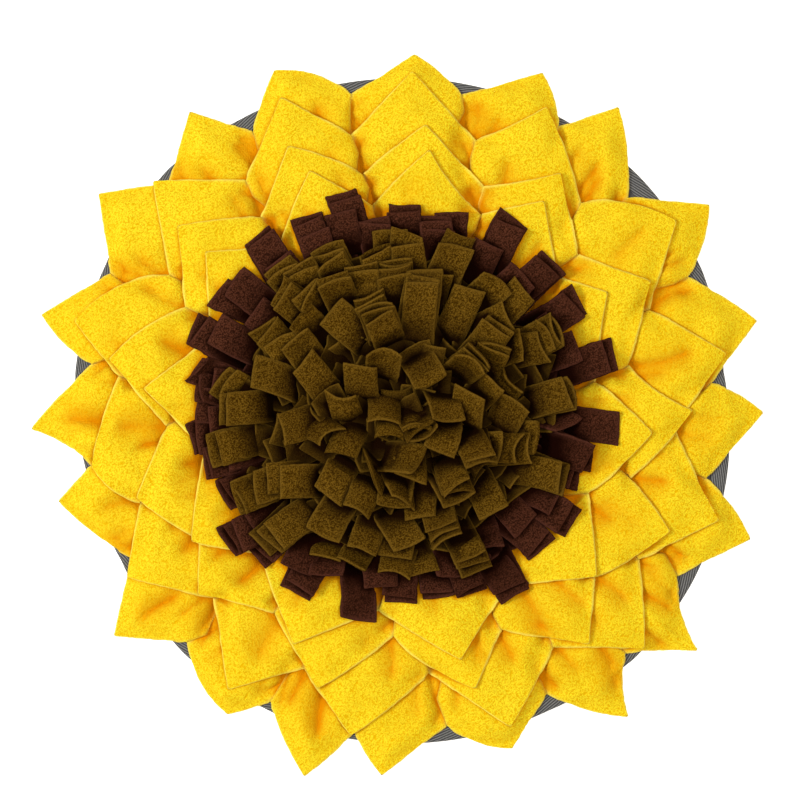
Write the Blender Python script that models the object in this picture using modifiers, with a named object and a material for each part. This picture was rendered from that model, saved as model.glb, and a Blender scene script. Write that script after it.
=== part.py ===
# A round snuffle mat made as a sunflower: a padded base disc with a webbing binding, four rings of square
# fleece petals with one corner outward, and a middle of brown and olive fleece strips.
# Metres, +Z up. The origin is the centre of the underside, and clock angles run clockwise from +Y.

import math
import random
from collections import namedtuple

import bmesh
import bpy
import numpy as np
from mathutils import Vector

MM = 0.001

# Base disc and the webbing folded over its edge
BASE_THICKNESS = 3.0 * MM
BASE_RIM_STEP = 1.3 * MM          # the underside is raised here, so that the webbing lies flush with it
WEBBING_THICKNESS = 1.0 * MM
WEBBING_LEG = 11.0 * MM
FIT_GAP = 0.3 * MM                # between pieces that touch
RIM_STEPS = 48
RIM_ZONE = 0.5                    # only what lies further out than this share of the radius follows the rim
SMOOTH_BELOW = 40                 # degrees, the edges of the turned pieces that stay soft
WELD_DISTANCE = 0.01 * MM

# Fleece
FLEECE = 2.2 * MM
SIDE_GAP = 1.1 * MM               # half the gap between two petals of a ring, at their undersides
TIP_WIDTH = 0.04                  # share of the notch width that is left at a petal's tip
CROWN = 3.0 * MM                  # how far a petal bulges between its two sides
CROWN_POWER = 2.2
ROOT_CROWN = 0.25                 # share of the crown that is left at the pinched root
TIP_CROWN = 0.4                   # and at the tip
CROWN_RISE = (0, 0.4)             # from where to where the crown rises, in shares of a petal's length
CROWN_FALL = (0.6, 1)
PLEAT_DEPTH = 2.4 * MM            # the soft trough that runs out from a petal's pinched root
PLEAT_RISE = (0, 0.2)
PLEAT_FALL = (0.5, 0.85)
NOTCH_ROW = 0.58                  # how far along a petal's length its two notches are
PETAL_ROWS = [0, 0.3, NOTCH_ROW, 0.8, 1]
NARROW_POINT = 0.6                # the point on a pleat's narrow side, as a share of that side from its edge
WIDE_POINTS = [0.35, 0.7]         # the points on its wide side, as shares of that side from the pleat
SAME = 0.001

# Strips of the middle
STRIP_WIDTH = 23.0 * MM
STRIP_BENDS = [0.5, 1.0, 1.5]      # where a strip bends, in shares of its bending length
SHORTEST_END = 8.0 * MM            # past its last bend
LINE_STEP = 1.0 * MM
BACKING_THICKNESS = 2.0 * MM
BACKING_STEPS = 36
OLIVE_BACKING_RADIUS = 80.0 * MM
BROWN_BACKING_INNER = 81.5 * MM
BROWN_BACKING_OUTER = 95.5 * MM
STRIP_SEED = 11

RimRow = namedtuple("RimRow", "clock reach_mm")
RIM = [
    RimRow(0, 227.5), RimRow(46, 228), RimRow(65, 226.5), RimRow(83, 221.5), RimRow(101, 226.5),
    RimRow(121, 230.5), RimRow(137, 232), RimRow(154, 228), RimRow(189, 227), RimRow(205, 224),
    RimRow(222, 223), RimRow(242, 217.5), RimRow(260, 220), RimRow(277, 225), RimRow(296, 226),
    RimRow(316, 230), RimRow(331, 228),
]

# One row for each petal: its tip, the notch on its clockwise side, and where its main pleat lies,
# from 0 at its anticlockwise side to 1 at its clockwise side.
Petal = namedtuple("Petal", "tip_clock tip_mm notch_clock notch_mm pleat")
OUTER_PETALS = [
    Petal(2, 243.5, 10.8, 219.5, 0.80), Petal(22.5, 249.5, 28.9, 221.5, 0.28),
    Petal(35.5, 254.5, 46.5, 212, 0.50), Petal(56.2, 252.5, 65, 215.5, 0.72),
    Petal(75.7, 249.5, 84.7, 212, 0.25), Petal(90.3, 246, 102.6, 213, 0.45),
    Petal(110.2, 253, 120.8, 219, 0.78), Petal(129.1, 259, 137.2, 225, 0.32),
    Petal(143.6, 259, 152.8, 217, 0.27), Petal(162, 242, 172, 217, 0.30),
    Petal(183.2, 249, 188.5, 221.5, 0.32), Petal(195, 257.5, 204.5, 217.5, 0.47),
    Petal(210, 238.5, 222.8, 215.5, 0.75), Petal(232, 249, 241.5, 211, 0.47),
    Petal(255.2, 242, 260.2, 215.5, 0.55), Petal(267.3, 253, 278.5, 214, 0.47),
    Petal(285, 254.5, 295.4, 220.5, 0.78), Petal(305.6, 254.5, 314.5, 223, 0.25),
    Petal(324.6, 250, 331.8, 218.5, 0.72), Petal(339.5, 248, 351, 219, 0.65),
]
SECOND_PETALS = [
    Petal(1.7, 231, 15, 191, 0.28), Petal(25.5, 229, 40.5, 187, 0.40),
    Petal(55.2, 227, 67.5, 182, 0.50), Petal(80, 224.5, 93, 185, 0.50),
    Petal(109, 228, 122.2, 190.5, 0.45), Petal(134.5, 231, 147.5, 191, 0.35),
    Petal(161, 227, 174, 179.5, 0.35), Petal(189, 223.5, 201, 187.5, 0.35),
    Petal(212, 223, 225, 181, 0.42), Petal(239, 219, 250.5, 187, 0.60),
    Petal(260, 215, 277, 194, 0.55), Petal(285.5, 231, 300.5, 183.5, 0.32),
    Petal(312.8, 231, 325.8, 189.5, 0.75), Petal(338.8, 228.5, 349.8, 191, 0.25),
]
THIRD_PETALS = [
    Petal(4.7, 194.5, 20, 162, 0.78), Petal(33.7, 194, 48.5, 160, 0.50),
    Petal(62.5, 190.5, 78.8, 157, 0.25), Petal(90, 197, 106.3, 162, 0.35),
    Petal(114.3, 199, 131, 173.5, 0.50), Petal(141.3, 202.5, 155.8, 163, 0.65),
    Petal(165.3, 194.5, 182.5, 153, 0.28), Petal(197, 197, 212.5, 162.5, 0.35),
    Petal(228, 186.5, 237.5, 163, 0.45), Petal(251.8, 189.5, 266.5, 160.5, 0.65),
    Petal(280, 202, 295.5, 163, 0.70), Petal(309.5, 197, 324.2, 163, 0.30),
    Petal(336.8, 195, 350.8, 163, 0.25),
]
INNER_PETALS = [
    Petal(6, 177.5, 22, 144, 0.50), Petal(34, 171.5, 49, 139.5, 0.75),
    Petal(60, 160.5, 81, 132.5, 0.40), Petal(95, 170, 114, 138, 0.28),
    Petal(130.5, 172.5, 149, 138, 0.60), Petal(166.7, 172.5, 187, 136, 0.40),
    Petal(205, 174, 225, 136, 0.50), Petal(238.3, 168, 259, 136, 0.30),
    Petal(275, 175.5, 291, 139.5, 0.30), Petal(309, 170.5, 323, 139.5, 0.40),
    Petal(339, 174, 352, 141.5, 0.30),
]

# Height of each ring's underside, out from its sewn root
Height = namedtuple("Height", "reach_mm height_mm")
OUTER_HEIGHTS = [Height(165, 3.3), Height(182, 7.0), Height(200, 8.0), Height(225, 7.0), Height(255, 5.0)]
SECOND_HEIGHTS = [Height(140, 3.3), Height(155, 8.5), Height(170, 12.0), Height(190, 14.2), Height(210, 14.2),
                  Height(232, 12.9)]
THIRD_HEIGHTS = [Height(118, 3.3), Height(130, 8.5), Height(145, 14.0), Height(165, 18.2), Height(185, 20.4),
                 Height(203, 20.4)]
INNER_HEIGHTS = [Height(98.5, 4.2), Height(108, 9.0), Height(120, 14.5), Height(135, 19.5),
                 Height(150, 22.5), Height(178, 26.5)]

Ring = namedtuple("Ring", "name petals root_mm heights")
RINGS = [
    Ring("petal_outer", OUTER_PETALS, 165, OUTER_HEIGHTS),
    Ring("petal_second", SECOND_PETALS, 140, SECOND_HEIGHTS),
    Ring("petal_third", THIRD_PETALS, 118, THIRD_HEIGHTS),
    Ring("petal_inner", INNER_PETALS, 98.5, INNER_HEIGHTS),
]
ROOT_BAND_WIDTH = 5.0 * MM

# One row for each brown strip: where its end lies, how far out, and which of three courses it is sewn in,
# the first course lowest and outermost. Turn is the angle of its run to the radius.
BrownStrip = namedtuple("BrownStrip", "clock reach_mm course turn")
BROWN_STRIPS = [
    BrownStrip(0, 136, 0, 0), BrownStrip(11, 132, 1, 0), BrownStrip(16, 140, 0, 4),
    BrownStrip(29, 145, 1, 0), BrownStrip(29.5, 130, 2, 0), BrownStrip(44.5, 141, 0, 0),
    BrownStrip(46, 124, 2, 0), BrownStrip(58, 137, 1, 0), BrownStrip(62, 120, 2, 0),
    BrownStrip(75, 143, 0, 0), BrownStrip(75.5, 137, 1, 0), BrownStrip(95, 146, 0, 0),
    BrownStrip(104, 133, 1, 0), BrownStrip(108.5, 126, 2, 0), BrownStrip(122.5, 133, 1, 0),
    BrownStrip(127, 139, 0, 0), BrownStrip(149, 141, 0, 4), BrownStrip(159.5, 130, 1, 0),
    BrownStrip(170.5, 124, 0, 0), BrownStrip(182, 127, 1, 0), BrownStrip(192, 145, 0, -3),
    BrownStrip(208.5, 140, 0, 0), BrownStrip(211, 134, 1, 0), BrownStrip(226, 136, 0, 0),
    BrownStrip(233, 140, 1, 0), BrownStrip(244.5, 130, 0, 0), BrownStrip(255, 135, 1, 0),
    BrownStrip(263.5, 145, 0, 0), BrownStrip(271, 142, 1, 0), BrownStrip(279.5, 147, 0, 0),
    BrownStrip(291.5, 149, 1, 0), BrownStrip(293, 132, 2, 0), BrownStrip(302.5, 149, 0, 0),
    BrownStrip(307, 143, 1, 0), BrownStrip(320, 151.5, 0, 0), BrownStrip(322, 146, 1, 0),
    BrownStrip(335, 143, 0, 0), BrownStrip(335.5, 130, 2, 0), BrownStrip(344.5, 149, 1, 0),
    BrownStrip(352.5, 130, 2, 0),
]

# Where the three courses are sewn, and the length over which their strips bend down to lie level
Course = namedtuple("Course", "root_mm bend_mm")
BROWN_COURSES = [Course(92.5, 24.5), Course(88.5, 28.0), Course(84.5, 31.5)]

# Rows of olive strips: each place in a row holds a pair of strips, one close behind the other.
OliveRow = namedtuple("OliveRow", "root_mm bend_mm places length_mm turn start_clock")
OLIVE_ROWS = [
    OliveRow(75.5, 35, 17, 64, 5, 4), OliveRow(62.5, 38.5, 14, 62, 6, 13), OliveRow(49.5, 41, 11, 62, 7, 3),
    OliveRow(36.5, 43, 8, 61, 9, 20), OliveRow(24, 45, 5, 59, 9, 40), OliveRow(10, 47, 2, 57, 8, 75),
]
PAIR_SPACING = 4.6 * MM
PAIR_BEND_GROWTH = 1.7 * MM       # the strip behind bends over a little more length
LENGTH_SPREAD = 4.0 * MM
CLOCK_SPREAD = 0.8
FULL_LEAN_RADIUS = 85.0 * MM      # strips sewn this far out lean over until they lie level
LEAN_POWER = 0.35

Finish = namedtuple("Finish", "colour roughness")
FINISHES = {
    "base_fabric": Finish((0.16, 0.16, 0.17), 0.9),
    "webbing": Finish((0.15, 0.15, 0.16), 0.75),
    "petal_fleece": Finish((0.95, 0.62, 0.02), 0.95),
    "brown_fleece": Finish((0.055, 0.02, 0.015), 0.95),
    "olive_fleece": Finish((0.11, 0.075, 0.008), 0.95),
}


def clear_scene():
    for thing in list(bpy.data.objects):
        bpy.data.objects.remove(thing, do_unlink=True)


def make_material(name):
    finish = FINISHES[name]
    material = bpy.data.materials.new(name)
    material.use_nodes = True
    shader = material.node_tree.nodes["Principled BSDF"]
    shader.inputs["Base Color"].default_value = (*finish.colour, 1)
    shader.inputs["Roughness"].default_value = finish.roughness
    shader.inputs["Metallic"].default_value = 0
    return material


def direction(clock):
    angle = math.radians(clock)
    return Vector((math.sin(angle), math.cos(angle), 0))


def rim_reach(clock):
    clocks = [row.clock for row in RIM]
    reaches = [row.reach_mm for row in RIM]
    return float(np.interp(clock, clocks, reaches, period=360)) * MM


def place_object(name, mesh, collection, material):
    piece = bpy.data.objects.new(name, mesh)
    collection.objects.link(piece)
    mesh.materials.append(material)
    return piece


def turned_shape(section, closed, steps):
    # Turns a section of (radius, height) points about the Z axis. An open section starts and ends on the axis.
    shape = bmesh.new()
    points = [shape.verts.new((radius, 0, height)) for radius, height in section]
    edges = [shape.edges.new(pair) for pair in zip(points, points[1:])]
    if closed:
        edges.append(shape.edges.new((points[-1], points[0])))
    bmesh.ops.spin(shape, geom=points + edges, cent=(0, 0, 0), axis=(0, 0, 1),
                   angle=math.tau, steps=steps, use_merge=True)
    bmesh.ops.remove_doubles(shape, verts=shape.verts, dist=WELD_DISTANCE)
    bmesh.ops.recalc_face_normals(shape, faces=shape.faces)
    return shape


def finished_mesh(name, shape):
    mesh = bpy.data.meshes.new(name)
    shape.to_mesh(mesh)
    shape.free()
    return mesh


def rim_mesh(name, section, closed):
    # A turned piece whose section is given as (distance in from the rim, height), with each of its points
    # then moved in or out so that its outside follows the mat's uneven rim.
    nominal = RIM[0].reach_mm * MM
    shape = turned_shape([(nominal - inset, height) for inset, height in section], closed, RIM_STEPS)
    for point in shape.verts:
        reach = math.hypot(point.co.x, point.co.y)
        if reach < nominal * RIM_ZONE:
            continue
        clock = math.degrees(math.atan2(point.co.x, point.co.y)) % 360
        growth = (reach + rim_reach(clock) - nominal) / reach
        point.co.x *= growth
        point.co.y *= growth
    mesh = finished_mesh(name, shape)
    mesh.shade_smooth()
    mesh.set_sharp_from_angle(angle=math.radians(SMOOTH_BELOW))
    return mesh


def make_base(collection):
    edge = WEBBING_THICKNESS + FIT_GAP
    leg = WEBBING_LEG + FIT_GAP
    nominal = RIM[0].reach_mm * MM
    section = [
        (nominal, 0), (leg, 0), (leg, BASE_RIM_STEP), (edge, BASE_RIM_STEP),
        (edge, BASE_THICKNESS), (nominal, BASE_THICKNESS),
    ]
    mesh = rim_mesh("base", section, closed=False)
    return place_object("base", mesh, collection, make_material("base_fabric"))


def make_binding(collection):
    top = BASE_THICKNESS + FIT_GAP
    section = [
        (0, 0), (WEBBING_LEG, 0), (WEBBING_LEG, WEBBING_THICKNESS), (WEBBING_THICKNESS, WEBBING_THICKNESS),
        (WEBBING_THICKNESS, top), (WEBBING_LEG, top), (WEBBING_LEG, top + WEBBING_THICKNESS),
        (0, top + WEBBING_THICKNESS),
    ]
    mesh = rim_mesh("binding", section, closed=True)
    return place_object("binding", mesh, collection, make_material("webbing"))


def add_sheet(shape, columns, rows, place):
    # Adds an open grid and moves each point (column, row) to where place says.
    made = bmesh.ops.create_grid(shape, x_segments=len(columns) - 1, y_segments=len(rows) - 1, size=0.5)
    for point in made["verts"]:
        column = round((point.co.x + 0.5) * (len(columns) - 1))
        row = round((point.co.y + 0.5) * (len(rows) - 1))
        point.co = place(columns[column], rows[row])


def thicken(piece, offset):
    solidify = piece.modifiers.new("fleece", "SOLIDIFY")
    solidify.thickness = FLEECE
    solidify.offset = offset
    solidify.use_even_offset = True


def ease(value, start, end):
    share = min(1, max(0, (value - start) / (end - start)))
    return share * share * (3 - 2 * share)


def petal_place(ring, before, petal):
    # Where a point of a petal lies, from its share across (0 to 1) and its share along (0 to 1).
    reaches = [row.reach_mm for row in ring.heights]
    heights = [row.height_mm for row in ring.heights]
    left_clock = before.notch_clock
    right_clock = petal.notch_clock
    if left_clock > right_clock:
        left_clock -= 360
    tip = direction(petal.tip_clock) * petal.tip_mm

    def place(across, along):
        to_notch = min(1, along / NOTCH_ROW)
        left_reach = ring.root_mm + (before.notch_mm - ring.root_mm) * to_notch
        right_reach = ring.root_mm + (petal.notch_mm - ring.root_mm) * to_notch
        reach = left_reach + (right_reach - left_reach) * across
        inset = math.degrees(SIDE_GAP / MM / reach)
        clock = left_clock + inset + (right_clock - left_clock - 2 * inset) * across
        spot = direction(clock) * reach
        to_tip = max(0, (along - NOTCH_ROW) / (1 - NOTCH_ROW)) * (1 - TIP_WIDTH)
        spot += (tip - spot) * to_tip
        crown = CROWN * (1 - abs(2 * across - 1) ** CROWN_POWER)
        crown *= ROOT_CROWN + (1 - ROOT_CROWN) * ease(along, *CROWN_RISE)
        crown *= 1 - (1 - TIP_CROWN) * ease(along, *CROWN_FALL)
        if abs(across - petal.pleat) < SAME:
            crown -= min(crown, PLEAT_DEPTH * ease(along, *PLEAT_RISE) * (1 - ease(along, *PLEAT_FALL)))
        height = float(np.interp(spot.length, reaches, heights)) * MM
        return Vector((spot.x * MM, spot.y * MM, height + crown))

    return place


def petal_columns(pleat):
    # Points across a petal, with one in the trough of its pleat.
    narrow = min(pleat, 1 - pleat)
    columns = [0, NARROW_POINT * narrow, narrow]
    columns += [narrow + share * (1 - narrow) for share in WIDE_POINTS] + [1]
    return columns if pleat == narrow else [1 - column for column in reversed(columns)]


def add_petal(shape, ring, number):
    before = ring.petals[number - 1]
    petal = ring.petals[number]
    add_sheet(shape, petal_columns(petal.pleat), PETAL_ROWS, petal_place(ring, before, petal))


def make_petals(ring, collection, material):
    for number in range(len(ring.petals)):
        shape = bmesh.new()
        add_petal(shape, ring, number)
        name = f"{ring.name}_{number + 1:02d}"
        thicken(place_object(name, finished_mesh(name, shape), collection, material), offset=1)


def make_backing(name, inner, outer, collection):
    # A flat ring or disc of backing fabric that holds the roots of one node's strips or petals.
    low = BASE_THICKNESS + FIT_GAP
    top = low + BACKING_THICKNESS
    section = [(inner, low), (outer, low), (outer, top), (inner, top)]
    mesh = finished_mesh(name, turned_shape(section, closed=inner > 0, steps=BACKING_STEPS))
    backing = bpy.data.objects.new(name, mesh)
    collection.objects.link(backing)
    backing.hide_render = True
    backing.display_type = "WIRE"
    return backing


def fuse(piece, backing):
    union = piece.modifiers.new("roots", "BOOLEAN")
    union.operation = "UNION"
    union.solver = "EXACT"
    union.object = backing


def make_inner_petals(ring, collection, cutters, material):
    # The innermost petals are sewn side by side on one narrow band.
    shape = bmesh.new()
    for number in range(len(ring.petals)):
        add_petal(shape, ring, number)
    name = ring.name + "_ring"
    piece = place_object(name, finished_mesh(name, shape), collection, material)
    thicken(piece, offset=1)
    middle = ring.root_mm * MM
    backing = make_backing("root_band", middle - ROOT_BAND_WIDTH / 2, middle + ROOT_BAND_WIDTH / 2,
                           cutters)
    fuse(piece, backing)


def strip_line(root, bend, length):
    # Points down the middle of a strip, as (radius, height), sewn at root and leaning outward.
    full_lean = math.pi / 2 * min(1, root / FULL_LEAN_RADIUS) ** LEAN_POWER
    stops = [share * bend for share in STRIP_BENDS if share * bend < length - SHORTEST_END] + [length]
    radius = root
    height = BASE_THICKNESS + FIT_GAP + BACKING_THICKNESS / 2
    line = [(radius, height)]
    run = 0
    for stop in stops:
        steps = math.ceil((stop - run) / LINE_STEP)
        step = (stop - run) / steps
        for _ in range(steps):
            run += step
            lean = full_lean * (1 - math.exp(-(run / bend) ** 2))
            radius += step * math.sin(lean)
            height += step * math.cos(lean)
        line.append((radius, height))
    return line


def length_to_reach(root, bend, reach):
    length = reach - root
    while strip_line(root, bend, length)[-1][0] < reach:
        length += LINE_STEP
    return length


def add_strip(shape, clock, turn, root, line):
    start = direction(clock) * root
    out = direction(clock + turn)
    aside = Vector((out.y, -out.x, 0))

    def place(across, row):
        radius, height = line[row]
        return start + out * (radius - root) + aside * (across * STRIP_WIDTH) + Vector((0, 0, height))

    add_sheet(shape, [-0.5, 0.5], list(range(len(line))), place)


def make_brown_strips(collection, cutters):
    shape = bmesh.new()
    for strip in BROWN_STRIPS:
        course = BROWN_COURSES[strip.course]
        root = course.root_mm * MM
        bend = course.bend_mm * MM
        length = length_to_reach(root, bend, strip.reach_mm * MM)
        add_strip(shape, strip.clock, strip.turn, root, strip_line(root, bend, length))
    mesh = finished_mesh("brown_strips", shape)
    piece = place_object("brown_strips", mesh, collection, make_material("brown_fleece"))
    thicken(piece, offset=0)
    fuse(piece, make_backing("brown_backing", BROWN_BACKING_INNER, BROWN_BACKING_OUTER, cutters))


def make_olive_strips(collection, cutters):
    chance = random.Random(STRIP_SEED)
    shape = bmesh.new()
    for row in OLIVE_ROWS:
        for number in range(row.places):
            clock = row.start_clock + 360 / row.places * number + chance.uniform(-CLOCK_SPREAD, CLOCK_SPREAD)
            turn = chance.uniform(-row.turn, row.turn)
            for behind in (0, 1):
                root = row.root_mm * MM - behind * PAIR_SPACING
                bend = row.bend_mm * MM + behind * PAIR_BEND_GROWTH
                length = row.length_mm * MM + chance.uniform(-1, 1) * LENGTH_SPREAD
                add_strip(shape, clock, turn, root, strip_line(root, bend, length))
    mesh = finished_mesh("olive_strips", shape)
    piece = place_object("olive_strips", mesh, collection, make_material("olive_fleece"))
    thicken(piece, offset=0)
    fuse(piece, make_backing("olive_backing", 0, OLIVE_BACKING_RADIUS, cutters))


def main():
    clear_scene()
    mat = bpy.data.collections.new("snuffle_mat")
    cutters = bpy.data.collections.new("backings")
    bpy.context.scene.collection.children.link(mat)
    bpy.context.scene.collection.children.link(cutters)
    make_base(mat)
    make_binding(mat)
    petal_fleece = make_material("petal_fleece")
    for ring in RINGS[:-1]:
        make_petals(ring, mat, petal_fleece)
    make_inner_petals(RINGS[-1], mat, cutters, petal_fleece)
    make_brown_strips(mat, cutters)
    make_olive_strips(mat, cutters)


main()
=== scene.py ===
import math
import random
from collections import namedtuple

import bmesh
import bpy
import numpy as np
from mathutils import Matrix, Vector


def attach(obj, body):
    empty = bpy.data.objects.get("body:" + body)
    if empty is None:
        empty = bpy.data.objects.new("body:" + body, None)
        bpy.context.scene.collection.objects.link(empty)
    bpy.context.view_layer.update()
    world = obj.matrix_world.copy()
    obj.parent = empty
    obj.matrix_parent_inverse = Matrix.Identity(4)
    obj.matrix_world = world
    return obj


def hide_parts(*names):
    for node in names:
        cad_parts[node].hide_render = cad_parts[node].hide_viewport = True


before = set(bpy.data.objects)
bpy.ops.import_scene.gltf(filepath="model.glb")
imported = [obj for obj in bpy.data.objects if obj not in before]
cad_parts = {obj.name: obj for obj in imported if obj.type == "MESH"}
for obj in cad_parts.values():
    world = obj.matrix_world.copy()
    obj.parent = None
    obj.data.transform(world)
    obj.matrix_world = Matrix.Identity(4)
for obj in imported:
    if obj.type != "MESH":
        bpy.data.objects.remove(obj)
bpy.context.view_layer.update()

mm = 0.001
bpy.ops.object.select_all(action="DESELECT")


def direction(clock):
    angle = np.radians(clock)
    return np.stack([np.sin(angle), np.cos(angle)], axis=-1)


def polar(clock, reach):
    return direction(clock) * np.asarray(reach)[..., None]


def ease(value, start, end):
    share = np.clip((np.asarray(value, float) - start) / (end - start), 0, 1)
    return share * share * (3 - 2 * share)


def roundOver(distance, radius):
    # 0 at an edge and 1 from radius on, steep first as a rolled shoulder is
    share = np.clip(distance / radius, 0, 1)
    return np.sqrt(np.clip(1 - (1 - share) ** 2, 0, 1))


def gauss(distance, width):
    return np.exp(-(distance / width) ** 2)


class Wire:
    # One output of a material's node tree. Sums and products of wires add their Math nodes.
    def __init__(self, tree, socket):
        self.tree = tree
        self.socket = socket

    def add(self, kind, inputs=None, output=0, **settings):
        node = self.tree.nodes.new(kind)
        for name, value in settings.items():
            setattr(node, name, value)
        for name, value in (inputs or {}).items():
            if isinstance(value, Wire):
                self.tree.links.new(value.socket, node.inputs[name])
            else:
                node.inputs[name].default_value = value
        return Wire(self.tree, node.outputs[output])

    def maths(self, operation, first, second=0.0):
        return self.add("ShaderNodeMath", {0: first, 1: second}, operation=operation)

    def __add__(self, other):
        return self.maths("ADD", self, other)

    def __radd__(self, other):
        return self.maths("ADD", other, self)

    def __sub__(self, other):
        return self.maths("SUBTRACT", self, other)

    def __rsub__(self, other):
        return self.maths("SUBTRACT", other, self)

    def __mul__(self, other):
        return self.maths("MULTIPLY", self, other)

    def __rmul__(self, other):
        return self.maths("MULTIPLY", other, self)

    def between(self, low, high):
        return self.add("ShaderNodeMapRange", {"Value": self, "From Min": low, "From Max": high},
                        interpolation_type="SMOOTHSTEP")

    def noise(self, scale, detail=2.0, roughness=0.5):
        return self.add("ShaderNodeTexNoise", {"Vector": self, "Scale": scale, "Detail": detail,
                                               "Roughness": roughness})

    def mix(self, factor, first, second):
        # sockets 6 and 7 are the Mix node's two colours, and output 2 is its colour
        return self.add("ShaderNodeMix", {0: factor, 6: first, 7: second}, output=2, data_type="RGBA")


def newMaterial(name):
    material = bpy.data.materials.new(name)
    material.use_nodes = True
    tree = material.node_tree
    shader = tree.nodes["Principled BSDF"]
    coordinates = tree.nodes.new("ShaderNodeTexCoord")
    return material, shader, Wire(tree, coordinates.outputs["Object"])


def attribute(wire, name):
    # output 2 is the attribute as one number
    return wire.add("ShaderNodeAttribute", output=2, attribute_name=name)


def finishShader(wire, shader, links, constants):
    for name, value in constants.items():
        shader.inputs[name].default_value = value
    for name, value in links.items():
        wire.tree.links.new(value.socket, shader.inputs[name])


fleeceLook = {
    "napScale": 1800,         # grain of the brushed pile, for each metre
    "cellScale": 960,         # its pebbles
    "stirScale": 200,         # what pushes the pebbles out of line, and how far
    "stir": 0.004,
    "fuzzScale": 2600,        # single hairs
    "broadScale": 26,         # wide patches, rubbed lighter and darker
    "broadShare": 0.25,
    "napHeight": 0.0016,
    "fuzzHeight": 0.00035,
    "sheenRoughness": 0.6,
}
fleeceColours = {
    # lit pile and pile between the pebbles, partly the pile's own grain and partly painted light and shade;
    # painted shade in folds and under other cloth; painted highlight on cut edges; grain is where the nap's
    # noise turns from dark to lit
    "petal_fleece": {"lit": (1.0, 0.83, 0.030, 1), "shade": (0.83, 0.465, 0.001, 1),
                     "foldAndPaintedShade": (0.78, 0.29, 0.001, 1), "edge": (1.0, 0.88, 0.15, 1), "sheen": 0.02,
                     "grain": (0.40, 0.575)},
    "brown_fleece": {"lit": (0.124, 0.040, 0.021, 1), "shade": (0.026, 0.008, 0.004, 1),
                     "foldAndPaintedShade": (0.009, 0.002, 0.001, 1), "edge": (0.085, 0.028, 0.018, 1), "sheen": 0.02,
                     "grain": (0.42, 0.62)},
    "olive_fleece": {"lit": (0.225, 0.120, 0.012, 1), "shade": (0.048, 0.022, 0.001, 1),
                     "foldAndPaintedShade": (0.009, 0.003, 0.001, 1), "edge": (0.160, 0.088, 0.011, 1), "sheen": 0.02,
                     "grain": (0.42, 0.62)},
}


def makeFleece(name):
    colours = fleeceColours[name]
    material, shader, place = newMaterial("mat_" + name)
    pebbles = place.noise(fleeceLook["napScale"], 3, 0.6)
    push = place.noise(fleeceLook["stirScale"], 2, 0.5) * fleeceLook["stir"]
    stirred = place.add("ShaderNodeVectorMath", {0: place, 1: push}, operation="ADD")
    cells = stirred.add("ShaderNodeTexVoronoi", {"Vector": stirred, "Scale": fleeceLook["cellScale"],
                                                 "Smoothness": 0.6}, feature="SMOOTH_F1")
    fuzz = place.noise(fleeceLook["fuzzScale"], 2, 0.7)
    broad = place.noise(fleeceLook["broadScale"], 3, 0.55)
    nap = pebbles * 0.55 + (1 - cells) * 0.45
    grain = nap * 0.75 + fuzz * 0.25
    rubbed = broad.between(0.25, 0.75) * fleeceLook["broadShare"] + (1 - fleeceLook["broadShare"])
    tone = grain.between(*colours["grain"]) * rubbed
    # the pile's grain: partly its own, partly painted light on its pebbles and painted shade between them
    colour = place.mix(tone, colours["shade"], colours["lit"])
    # painted shade in creases and under other cloth, then a painted highlight along the cut edges, broken
    # up by the fuzz
    colour = place.mix(attribute(place, "foldAndPaintedShade"), colour, colours["foldAndPaintedShade"])
    colour = place.mix(attribute(place, "edge") * (fuzz * 0.8 + 0.45), colour, colours["edge"])
    pile = place.add("ShaderNodeBump", {"Height": nap, "Strength": 0.9,
                                        "Distance": fleeceLook["napHeight"]})
    hairs = place.add("ShaderNodeBump", {"Height": fuzz, "Strength": 0.5, "Normal": pile,
                                         "Distance": fleeceLook["fuzzHeight"]})
    finishShader(place, shader, {"Base Color": colour, "Normal": hairs},
                 {"Roughness": 0.95, "Specular IOR Level": 0.03, "Specular Tint": colours["lit"],
                  "Sheen Weight": colours["sheen"], "Sheen Tint": colours["lit"],
                  "Sheen Roughness": fleeceLook["sheenRoughness"]})
    return material


webbingLook = {
    "light": (0.225, 0.232, 0.245, 1),
    "dark": (0.040, 0.042, 0.046, 1),
    "ribs": 0.0016,           # from rib to rib, in metres
    "slant": 16,              # degrees between a rib and the rim
    "yarns": 0.0011,
    "wobble": 0.0006,         # how far a rib runs out of line
    "wobbleScale": 220,
    "fluffScale": 900,
    "ribHeight": 0.0007,
}


def makeWebbing():
    material, shader, place = newMaterial("mat_webbing")
    flat = place.add("ShaderNodeUVMap", uv_map="cloth")
    along = flat.add("ShaderNodeSeparateXYZ", {"Vector": flat})
    across = flat.add("ShaderNodeSeparateXYZ", {"Vector": flat}, output=1)
    wobble = place.noise(webbingLook["wobbleScale"], 2, 0.5)
    slant = math.radians(webbingLook["slant"])
    turns = along * math.sin(slant) + across * math.cos(slant) + wobble * webbingLook["wobble"]
    turns = turns * (2 * math.pi / webbingLook["ribs"])
    rib = turns.maths("SINE", turns) * 0.5 + 0.5
    yarns = along * (2 * math.pi / webbingLook["yarns"])
    yarns = yarns.maths("SINE", yarns) * 0.5 + 0.5
    tone = rib.between(0.15, 0.75) * (yarns * 0.25 + 0.75)
    colour = place.mix(tone, webbingLook["dark"], webbingLook["light"])
    fluff = place.noise(webbingLook["fluffScale"], 2, 0.6).between(0.3, 0.8)
    colour = place.mix(fluff * 0.35, colour, webbingLook["dark"])
    bump = place.add("ShaderNodeBump", {"Height": tone, "Strength": 0.8,
                                        "Distance": webbingLook["ribHeight"]})
    finishShader(place, shader, {"Base Color": colour, "Normal": bump},
                 {"Roughness": 0.7, "Specular IOR Level": 0.25})
    return material


baseLook = {
    "dark": (0.045, 0.045, 0.048, 1),
    "light": (0.13, 0.13, 0.137, 1),
    "weave": 0.0016,          # two yarns, one over and one under
    "yarnHeight": 0.0004,
    "slubScale": 300,
}


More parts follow.
